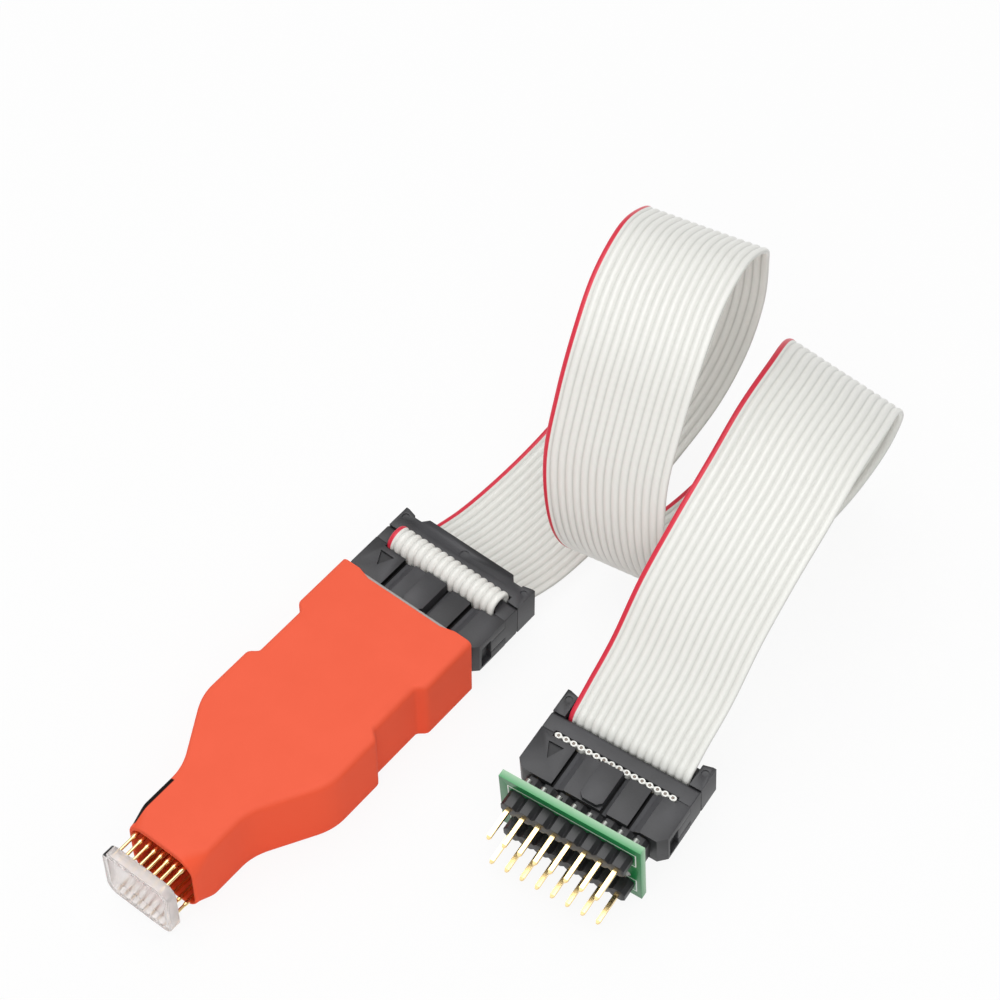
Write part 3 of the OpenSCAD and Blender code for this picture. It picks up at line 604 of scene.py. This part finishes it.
# the fold at a plug in its own x and z: between body and cover, over the cover on half an ellipse,
# behind the cover, then out under the relief or away at a slope
def foldLine(lifted):
    p = plugForm
    n = p["steps"]
    half = (p["slotX"] - p["bodyDepth"]) / 2
    top = p["halfThick"] + p["foldGap"]
    riseZ = np.linspace(-p["halfThick"], top, n["rise"] + 1)[:-1]
    rise = np.stack([np.full(n["rise"], p["bodyDepth"]), riseZ], -1)
    a = np.radians(np.linspace(180, 0, n["over"]))
    over = np.stack([p["bodyDepth"] + half * (1 + np.cos(a)), top + p["foldRise"] * np.sin(a)], -1)
    if lifted:
        b = np.radians(np.linspace(180, 270 - p["liftAngle"], n["bend"]))
        bendX = p["slotX"] + p["liftR"] * (1 + np.cos(b))
        bend = np.stack([bendX, -p["liftZ"] + p["liftR"] * np.sin(b)], -1)
        lift = math.radians(p["liftAngle"])
        way = np.array([math.cos(lift), -math.sin(lift)])
        out = bend[-1] + p["liftRun"] * np.array([[0.5], [1.0]]) * way
    else:
        b = np.radians(np.linspace(180, 270, n["bend"]))
        bendX = p["slotX"] + p["bendR"] * (1 + np.cos(b))
        bend = np.stack([bendX, p["runZ"] + p["bendR"] * (1 + np.sin(b))], -1)
        run = np.linspace(bend[-1, 0], p["length"], n["run"] + 1)[1:]
        out = np.stack([run, np.full(n["run"], p["runZ"])], -1)
    down = np.linspace(over[-1], bend[0], n["down"] + 2)[1:-1]
    line = np.concatenate([rise, over, down, bend, out])
    return line * np.array([1, -1 if lifted else 1])


# the outline carried along the fold line, in a plug's own frame and then in the row frame
def makeFold(name, node, lifted, toRow):
    line = foldLine(lifted)
    slope = np.gradient(line, axis=0)
    zero = np.zeros(len(line))
    middles = np.stack([line[:, 0], zero, line[:, 1]], -1)
    widths = np.tile([0.0, -1.0, 0.0], (len(line), 1))
    ups = unitRows(np.cross(np.stack([slope[:, 0], zero, slope[:, 1]], -1), widths))
    points, grid = sweepRibbon(middles, widths, ups, ribbonOutline(ribbonForm))
    quads, caps = tubeFaces(*points.shape[:2])
    return makePiece(name, toRow(points), quads, "cable", ribbonVinyl, caps, [node], grid)


wireForm = {"radius": 0.24, "rise": 0.07, "sink": 0.05, "steps": 12, "domeAngles": (0, 30, 60, 90)}


# turned shapes in one piece: a profile of (radius, height) pairs about each of the given middles,
# with its height along +Z or, where lying, along +X
def turnedRows(middles, profile, steps, lying=False):
    turn = np.linspace(0, 2 * np.pi, steps, endpoint=False)
    radius, height = np.asarray(profile, dtype=float).T
    radius, height = radius[:, None], height[:, None]
    ring = np.stack(np.broadcast_arrays(radius * np.cos(turn), radius * np.sin(turn), height), -1)
    if lying:
        ring = ring[..., [2, 1, 0]] * np.array([1, 1, -1])
    points = np.asarray(middles, dtype=float)[:, None, None] + ring[None]
    one = gridQuads(len(radius), steps, wrapCols=True)
    quads = np.concatenate([one + k * len(radius) * steps for k in range(len(points))])
    return points.reshape(-1, 3), quads


# bright cores of the strands at the cut end of the ribbon, each a low dome: a quarter ellipse turned
def makeWireEnds(name, side, toRow):
    f = wireForm
    q = np.radians(f["domeAngles"])
    dome = np.stack([f["radius"] * np.cos(q), f["rise"] * np.sin(q)], -1)
    profile = np.concatenate([[[0, -f["sink"]], [f["radius"], -f["sink"]]], dome])
    n = ribbonForm["strands"]
    y = (np.arange(n) - (n - 1) / 2) * ribbonForm["pitch"]
    points, quads = turnedRows(np.stack([0 * y, y, 0 * y], -1), profile, f["steps"])
    cut = np.array([plugForm["bodyDepth"], 0, side * plugForm["halfThick"]])
    points = points * np.array([1, 1, side]) + cut
    return makePiece(name, toRow(points), quads, "cable", wireCore)


ribbonLead, ribbonMiddle = makeRibbon(ribbonForm)
makeFold("foldAtPlugA", "ribbon_fold_a", False, toPlugA)
foldAtPlugB = makeFold("foldAtPlugB", "ribbon_fold_b", True, toPlugB)
makeWireEnds("wireEndsA", -1, toPlugA)
wireEndsB = makeWireEnds("wireEndsB", 1, toPlugB)
ribbonLength = float(np.linalg.norm(np.diff(ribbonMiddle, axis=0), axis=1).sum()) * mm
print(f"ribbon made, {ribbonLength:.4f} m")


# sleeve

sleeveForm = {
    "lipX": -31.5,
    "length": 53.4,
    "height": 12.0,
    "nose": (12.4, 9.2),  # width, length
    "taper": 15.2,
    "bump": (24.7, 7.2),
    "step": 1.8,
    "grip": (22.0, 8.4),
    "rear": 24.6,
    "wall": 0.7,
    "edgeR": 0.9,
    "noseR": 2.8,
    "lipBulge": 0.9,  # more radius on the outer skin
    "lipLength": 4.0,
    "extraTop": 0.7,  # mm that the upper side lies higher
    "lipR": 0.34,
    "rimR": 0.22,
    "crown": 0.12,  # mm that the upper side falls at its edges
    "notch": (0.7, 14.4, 2.6),  # depth, width, width gained at the rear
    "leastR": 0.3,
    "ease": {"taper": 0.3, "step": 0.45, "lip": 0.3},  # share of a blend that is rounded at each end
    "rearZone": 3.0,  # mm over which the notch comes in
    "arc": 9,
    "flat": 9,
    "steps": {"round": 7, "skin": 150, "rear": 10, "inner": 100},
    "innerStep": 0.1,
}


# straight blend whose ends are rounded by parabolas over a share k of its length
def easeBlend(a, b, t, k):
    t = np.clip(t, 0, 1)
    low = t * t / (2 * k * (1 - k))
    high = 1 - (1 - t) ** 2 / (2 * k * (1 - k))
    return a + (b - a) * np.where(t < k, low, np.where(t > 1 - k, high, (t - k / 2) / (1 - k)))


# half width along the sleeve: nose, taper to the bump, step down to the grip and step up to the rear
def sleeveHalfWidth(s, f):
    ease = f["ease"]
    bumpAt = f["nose"][1] + f["taper"]
    dipAt = bumpAt + f["bump"][1]
    riseAt = dipAt + f["step"] + f["grip"][1]
    taper = easeBlend(f["nose"][0], f["bump"][0], (s - f["nose"][1]) / f["taper"], ease["taper"])
    dip = easeBlend(f["bump"][0], f["grip"][0], (s - dipAt) / f["step"], ease["step"])
    rise = easeBlend(f["grip"][0], f["rear"], (s - riseAt) / f["step"], ease["step"])
    return np.where(s < dipAt, taper, np.where(s < riseAt, dip, rise)) / 2


# rounded rectangles along the sleeve: s is the distance from the lip, inset how far in from the skin,
# rise how much higher the upper side lies
def sleeveRings(s, inset, rise, f):
    a = sleeveHalfWidth(s, f) - inset
    b = f["height"] / 2 - inset
    lipR = f["noseR"] + f["lipBulge"] * (1 - inset / f["wall"])
    r = easeBlend(lipR, f["edgeR"], s / f["lipLength"], f["ease"]["lip"])
    r = np.maximum(r - inset, f["leastR"])
    ang = np.radians(90 * np.arange(4)[:, None] + np.linspace(0, 90, f["arc"]))
    sy, sz = np.array([1, -1, -1, 1])[:, None], np.array([1, 1, -1, -1])[:, None]
    y = sy * (a - r)[:, None, None] + r[:, None, None] * np.cos(ang)
    z = sz * (b - r)[:, None, None] + r[:, None, None] * np.sin(ang)
    z[:, :2] += rise[:, None, None]
    arcs = np.stack([y, z], -1)
    w = np.linspace(0, 1, f["flat"] + 2)[1:-1, None]
    flats = arcs[:, :, -1:] * (1 - w) + np.roll(arcs, -1, axis=1)[:, :, :1] * w
    ring = np.concatenate([arcs, flats], axis=2).reshape(len(s), -1, 2)
    y, z = ring[..., 0], ring[..., 1]
    z = z - f["crown"] * (y / a[:, None]) ** 2 * np.clip(z / b[:, None], 0, 1)
    depth, width, gain = f["notch"]
    cut = depth * np.clip(1 - (np.abs(y) - width / 2) / (gain / 2), 0, 1)
    cut = cut * np.clip((s - f["length"] + f["rearZone"]) / f["rearZone"], 0, 1)[:, None]
    x = f["lipX"] + s[:, None] - cut
    return np.stack([x, y, f["height"] / 2 + z], -1)


# outer skin from the lip to the rear and inner skin back again; at both ends a quarter circle
# takes the outer skin in, and at the lip one takes the inner skin out
def makeSleeve(f):
    n = f["steps"]
    q = np.radians(np.linspace(0, 90, n["round"]))
    lip, rim = f["lipR"], f["rimR"]
    length = f["length"]
    zoneAt = length - f["rearZone"]
    edgeS, edgeIn = 1 - np.cos(q), 1 - np.sin(q)
    outerS = [lip * edgeS, np.linspace(lip, zoneAt, n["skin"])[1:]]
    outerS += [np.linspace(zoneAt, length - rim, n["rear"])[1:], length - rim * edgeS[::-1][1:]]
    outerS = np.concatenate(outerS)
    outerIn = np.zeros(len(outerS))
    outerIn[: len(q)] = lip * edgeIn
    outerIn[-len(q) :] = rim * edgeIn[::-1]
    inner = np.linspace(length - f["innerStep"], lip, n["inner"])
    innerS = np.concatenate([[length], inner, lip * edgeS[::-1][1:]])
    innerIn = np.full(len(innerS), f["wall"])
    innerIn[-len(q) :] = f["wall"] - lip * edgeIn[::-1]
    rise = np.append(np.full(len(outerS), f["extraTop"]), np.zeros(len(innerS)))
    inset = np.concatenate([outerIn, innerIn])
    rings = sleeveRings(np.concatenate([outerS, innerS]), inset, rise, f)
    quads = gridQuads(*rings.shape[:2], wrapRows=True, wrapCols=True)
    replaced = ["handle_sleeve"]
    makePiece("softSleeve", rings, quads, "handle", sleeveRubber, (), replaced)


makeSleeve(sleeveForm)
print("sleeve made")


# rigid pieces that keep their CAD shape with broken edges

boardFinish = {
    "green": paint(20, 116, 60),
    "edge": (paint(76, 156, 100), paint(168, 204, 172)),  # at the front and at the rear: the pale laminate, made paler to the rear by a painted highlight
    "silk": paint(226, 234, 226),
    "roughness": 0.32,
    "stripHalf": (10.16, 1.27),  # half length and half height of a strip, mm
    "stripZ": 3.81,
    "silkAt": (0.3, 0.46),  # mm outside the strip
    "silkFade": 0.03,
    "grain": (900, 0.1),
    "faces": (-4.45, -3.25),  # mm along the plug
    "edgeRoughness": 0.5,
    "edgeTurn": 0.7,  # a cut edge faces less than this share along the board's axis
}
boardAxis = toPlugB((1, 0, 0)) - toPlugB((0, 0, 0))


# distance in metres along an axis of a plug's own frame
def alongPlug(tree, place, axis):
    origin = place((0, 0, 0))
    way = place(axis) - origin
    spot = addNode(tree, "ShaderNodeTexCoord")
    dot = addNode(tree, "ShaderNodeVectorMath", operation="DOT_PRODUCT")
    tree.links.new(spot.outputs["Object"], dot.inputs[0])
    dot.inputs[1].default_value = tuple(way)
    return mathNode(tree, "SUBTRACT", dot.outputs["Value"], float(origin @ way) * mm)


# green mask with a thin printed frame round each strip: the larger overshoot beyond the strip's half
# length and half height lies within the line
def makeBoardGreen(f):
    material, tree, shader = newMaterial("boardGreen", f["green"], f["roughness"])
    addGrain(tree, shader, *f["grain"])
    y = mathNode(tree, "ABSOLUTE", alongPlug(tree, toPlugB, (0, 1, 0)))
    z = mathNode(tree, "ABSOLUTE", alongPlug(tree, toPlugB, (0, 0, 1)))
    z = mathNode(tree, "ABSOLUTE", mathNode(tree, "SUBTRACT", z, f["stripZ"] * mm))
    y = mathNode(tree, "SUBTRACT", y, f["stripHalf"][0] * mm)
    z = mathNode(tree, "SUBTRACT", z, f["stripHalf"][1] * mm)
    out = mathNode(tree, "MAXIMUM", y, z)
    low, high = f["silkAt"]
    begin = rampInMm(tree, out, low - f["silkFade"], low)
    finish = rampInMm(tree, out, high + f["silkFade"], high)
    line = mathNode(tree, "MULTIPLY", begin, finish)
    tree.links.new(mixColour(tree, line, f["green"], f["silk"]), shader.inputs["Base Color"])
    return material


# cut edge of the board in pale laminate, with a painted highlight that makes it paler to the rear
def makeBoardEdge(f):
    material, tree, shader = newMaterial("boardEdge", f["edge"][0], f["edgeRoughness"])
    # painted highlight: paler towards the rear
    back = rampInMm(tree, alongPlug(tree, toPlugB, (1, 0, 0)), *f["faces"])
    tree.links.new(mixColour(tree, back, *f["edge"]), shader.inputs["Base Color"])
    return material


boardGreen = makeBoardGreen(boardFinish)
boardEdge = makeBoardEdge(boardFinish)

grooveForm = {
    "middles": (5.75, -2.35, -6.9),  # mm to the side
    "half": 0.52,
    "z": (2.1, 2.95),
    "markZ": (2.6, 2.7),
    # painted shade in black along each groove's far wall, painted light in grey on the rest of its floor
    "black": paint(8, 8, 8),
    "floor": paint(84, 84, 87),
    "shadeFade": (0.26, 0.34),  # mm from the far wall, over which the painted shade fades out
    "roughness": 0.6,
    "specular": 0.15,
    # shares of a face's direction: along the plug at most, of a ledge to the side and up, of the mark up
    "along": 0.5,
    "ledgeSide": (0.25, 0.6),
    "ledgeUp": 0.8,
    "markUp": 0.95,
}


# groove of a plug: painted shade in black at its far wall, painted light in grey on the rest of its floor
def makeShadedGroove(name, place, f):
    material, tree, shader = newMaterial(name, f["floor"], f["roughness"])
    shader.inputs["Specular IOR Level"].default_value = f["specular"]
    y = alongPlug(tree, place, (0, 1, 0))
    walls = [mathNode(tree, "SUBTRACT", y, (m + f["half"]) * mm) for m in f["middles"]]
    near = [mathNode(tree, "ABSOLUTE", wall) for wall in walls]
    least = mathNode(tree, "MINIMUM", mathNode(tree, "MINIMUM", near[0], near[1]), near[2])
    pastShade = rampInMm(tree, least, *f["shadeFade"])
    tree.links.new(mixColour(tree, pastShade, f["black"], f["floor"]), shader.inputs["Base Color"])
    return material


# faces of a plug's grooves, which carry painted shade and light, of the ledges that slope down to them,
# which carry painted light, and of the first-pin mark, in the plug's own frame
def plugOthers(name, place):
    f = grooveForm
    origin = place((0, 0, 0))
    side, up = (place(v) - origin for v in np.eye(3)[1:])

    def inGroove(middles, normals):
        y, z = (middles - origin) @ side, (middles - origin) @ up
        near = np.abs(y[:, None] - np.array(f["middles"])).min(1) < f["half"]
        within = (z > f["z"][0]) & (z < f["z"][1])
        return near & within & (np.abs(normals @ boardAxis) < f["along"])

    def onLedge(middles, normals):
        least, most = f["ledgeSide"]
        turned = normals @ side
        return (turned > least) & (turned < most) & (normals @ up > f["ledgeUp"])

    def inMark(middles, normals):
        z = (middles - origin) @ up
        return (z > f["markZ"][0]) & (z < f["markZ"][1]) & (normals @ up > f["markUp"])

    return [(makeShadedGroove(name, place, f), inGroove), (litLedgePlastic, onLedge), (plugMark, inMark)]


# the board's edges all round
def cutEdges(middles, normals):
    return np.abs(normals @ boardAxis) < boardFinish["edgeTurn"]


inkY, inkZ = guideFinish["inkFrom"]
inkCuts = [((0, inkY, 0), (0, 1, 0)), ((0, 0, inkZ), (0, 0, 1))]


# the corner of the guide at the first pin
def inkCorner(middles, normals):
    return (middles[:, 1] > inkY) & (middles[:, 2] > inkZ)


# per node: name, width of the bevel in mm, material, then other materials and cuts
softEdges = {
    "plug_a_body": ("plugBodyA", 0.14, plugPlastic, plugOthers("plugGrooveShadeA", toPlugA)),
    "plug_a_cover": ("plugCoverA", 0.14, plugPlastic),
    "plug_a_relief": ("plugReliefA", 0.16, plugPlastic),
    "plug_b_body": ("plugBodyB", 0.14, plugPlastic, plugOthers("plugGrooveShadeB", toPlugB)),
    "plug_b_cover": ("plugCoverB", 0.14, plugPlastic),
    "plug_b_relief": ("plugReliefB", 0.16, plugPlastic),
    "upper_strip_base": ("upperStripBase", 0.08, stripPlastic),
    "lower_strip_base": ("lowerStripBase", 0.08, stripPlastic),
    "adapter_header_base": ("adapterHeaderBase", 0.08, stripPlastic),
    "adapter_board": ("adapterBoard", 0.06, boardGreen, [(boardEdge, cutEdges)]),
    "clear_guide": ("clearGuide", 0.12, clearAcrylic, [(guideInk, inkCorner)], inkCuts),
    "rear_collar": ("rearCollar", 0.1, collarGlintGrey),
}
dressed = {node: softEdged(node, *given) for node, given in softEdges.items()}
print("edges broken on", len(dressed), "pieces")


# springs

springForm = {
    "x": (-30.03, -20.03),  # both ends, mm
    "radius": 0.22,
    "wire": 0.05,
    "coils": 8,
    "stepsPerCoil": 14,
    "sides": 6,
    "perRow": 8,
    "rowGap": 8.8,
    "pitch": 1.27,
    "travel": 2.6,
    "z": 6.0,
}


# a thin round wire carried along a screw line inside each barrel
def makeSpring(k, f):
    first, last = f["x"][0] + f["wire"], f["x"][1] - f["wire"]
    t = np.linspace(0, 1, f["coils"] * f["stepsPerCoil"] + 1)[:, None]
    turn = 2 * np.pi * f["coils"] * t
    q = np.linspace(0, 2 * np.pi, f["sides"], endpoint=False)[None, :]
    y = (k % f["perRow"] - (f["perRow"] - 1) / 2) * f["pitch"]
    z = f["z"] + (0.5 if k < f["perRow"] else -0.5) * f["rowGap"]
    out = f["radius"] + f["wire"] * np.cos(q)
    x = first + (last - first) * t + f["wire"] * np.sin(q)
    points = np.stack([x, y + out * np.sin(turn), z + out * np.cos(turn)], -1)
    quads, caps = tubeFaces(*points.shape[:2])
    number = f"{k + 1:02d}"
    name, replaced = "pinSpring" + number, ["spring_" + number]
    piece = makePiece(name, points, quads, "handle", springSteel, caps, replaced)
    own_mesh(piece)


for k in range(2 * springForm["perRow"]):
    makeSpring(k, springForm)
print("springs made")


# solder

solderForm = {
    "foot": 0.78,
    "hollow": 0.5,  # mm of height over which it narrows
    "power": 2.2,
    "rings": 6,
    "steps": 14,
    "sink": 0.02,
    "pitch": 2.54,
    "perRow": 8,
    # x of the board's face, way out, height of the rows, rise and tip radius, mm
    "solderRear": (-3.25, 1, 3.81, 1.79, 0.47),
    "solderFront": (-4.45, -1, 1.27, 0.55, 0.36),
}


# solder round each pin tail: a hollow-sided cone, its radius the tip's plus a power of the height left
def makeSolder(name, f):
    x, way, rowZ, rise, tip = f[name]
    h = np.append(np.linspace(0, f["hollow"], f["rings"]), rise)
    radius = tip + (f["foot"] - tip) * np.clip(1 - h / f["hollow"], 0, 1) ** f["power"]
    cone = np.stack([radius, h], -1)
    profile = np.concatenate([[[0, -f["sink"]]], cone, [[0, rise + f["sink"]]]])
    y = (np.arange(f["perRow"]) - (f["perRow"] - 1) / 2) * f["pitch"]
    middles = np.array([(0, a, b) for b in (rowZ, -rowZ) for a in y])
    points, quads = turnedRows(middles, profile, f["steps"], lying=True)
    points = points * np.array([way, 1, 1]) + np.array([x, 0, 0])
    return makePiece(name, toPlugB(points), quads, "adapter", solderTin)


solderPieces = [makeSolder(name, solderForm) for name in ("solderRear", "solderFront")]
print("solder made")


# finishes of the CAD nodes that stay

finishes = {
    "header_base": stripPlastic,
    "pin_block_front": blockBounceOrange,
    "pin_block_rear": blockBounceOrange,
    "probe_board": boardGreen,
    "tail_leads": solderTin,
}
for node, piece in cadNodes.items():
    if node in dressed or node.startswith(("handle_sleeve", "ribbon_", "spring_")):
        continue
    piece.data.materials.clear()
    piece.data.materials.append(finishes.get(node, goldPlate))
print("finishes set")


# pieces at the far end of the cord, listed

farDressed = ["plug_b_body", "plug_b_cover", "plug_b_relief", "adapter_board", "adapter_header_base"]
farDressed += ["upper_strip_base", "lower_strip_base"]
farPins = ["plug_b_contacts", "adapter_header_pins", "upper_strip_pins", "lower_strip_pins"]
cordPieces = [dressed[n] for n in farDressed] + [cadNodes[n] for n in farPins]
cordPieces += [foldAtPlugB, wireEndsB, *solderPieces]


# floor, lamps and sky

stageLight = {
    "sky": 0.58,
    "gloss": ((0.76, 0.95), (0.3, 2.6)),  # sky seen in reflections, by height of the direction
    "key": ((60, 140, 720), 700, 2.2),  # place in mm, size in mm, watts
    "fill": ((-420, -330, 520), 500, 1.5),
    "aim": (30, -15, 10),
    "floorWhite": 0.9,
    "floorGrey": (0.85, 0.85, 0.85, 1),
    "floorRoughness": 0.9,
    "floorReach": 3,  # metres
}


# mostly plain white to the camera, in reflections and through clear pieces, pale grey for soft light
def makeFloor(f):
    r = f["floorReach"]
    mesh = bpy.data.meshes.new("paleFloor")
    mesh.from_pydata([(-r, -r, 0), (r, -r, 0), (r, r, 0), (-r, r, 0)], [], [(0, 1, 2, 3)])
    floor = bpy.data.objects.new("paleFloor", mesh)
    bpy.context.collection.objects.link(floor)
    material, tree, shader = newMaterial("paleFloor", f["floorGrey"], f["floorRoughness"])
    glow = addNode(tree, "ShaderNodeEmission")
    path = addNode(tree, "ShaderNodeLightPath")
    mix = addNode(tree, "ShaderNodeMixShader")
    seen = mathNode(tree, "MAXIMUM", path.outputs["Is Camera Ray"], path.outputs["Is Glossy Ray"])
    seen = mathNode(tree, "MAXIMUM", seen, path.outputs["Is Transmission Ray"])
    tree.links.new(mathNode(tree, "MULTIPLY", seen, f["floorWhite"]), mix.inputs["Fac"])
    tree.links.new(shader.outputs[0], mix.inputs[1])
    tree.links.new(glow.outputs[0], mix.inputs[2])
    tree.links.new(mix.outputs[0], tree.nodes["Material Output"].inputs["Surface"])
    mesh.materials.append(material)


def makeLamp(name, place, size, watts):
    data = bpy.data.lights.new(name, "AREA")
    data.size = size * mm
    data.energy = watts
    lamp = bpy.data.objects.new(name, data)
    lamp.location = np.array(place) * mm
    aim = np.array(stageLight["aim"]) - np.array(place)
    lean = math.acos(-aim[2] / np.linalg.norm(aim))
    lamp.rotation_euler = (lean, 0, math.atan2(aim[1], aim[0]) - math.pi / 2)
    bpy.context.collection.objects.link(lamp)


# plain to camera and through clear pieces, brighter overhead in reflections, dimmer for soft light
def makeSky(strength, heights, levels):
    world = bpy.data.worlds.new("paleSky")
    world.use_nodes = True
    tree = world.node_tree
    sky = tree.nodes["Background"]
    sky.inputs["Color"].default_value = (1, 1, 1, 1)
    path = addNode(tree, "ShaderNodeLightPath")
    place = addNode(tree, "ShaderNodeTexCoord")
    parts = addNode(tree, "ShaderNodeSeparateXYZ")
    tree.links.new(place.outputs["Generated"], parts.inputs[0])
    high = rampNode(tree, parts.outputs["Z"], *heights)
    gloss = mathNode(tree, "ADD", mathNode(tree, "MULTIPLY", high, levels[1] - levels[0]), levels[0])
    extra = mathNode(tree, "SUBTRACT", gloss, strength)
    gloss = mathNode(tree, "MULTIPLY", extra, path.outputs["Is Glossy Ray"])
    seen = mathNode(tree, "MAXIMUM", path.outputs["Is Camera Ray"], path.outputs["Is Transmission Ray"])
    level = mathNode(tree, "MAXIMUM", mathNode(tree, "ADD", gloss, strength), seen)
    tree.links.new(level, sky.inputs["Strength"])
    bpy.context.scene.world = world


makeFloor(stageLight)
makeLamp("keyLamp", *stageLight["key"])
makeLamp("fillLamp", *stageLight["fill"])
makeSky(stageLight["sky"], *stageLight["gloss"])
bpy.context.scene.view_settings.view_transform = "Standard"
print("stage lit")
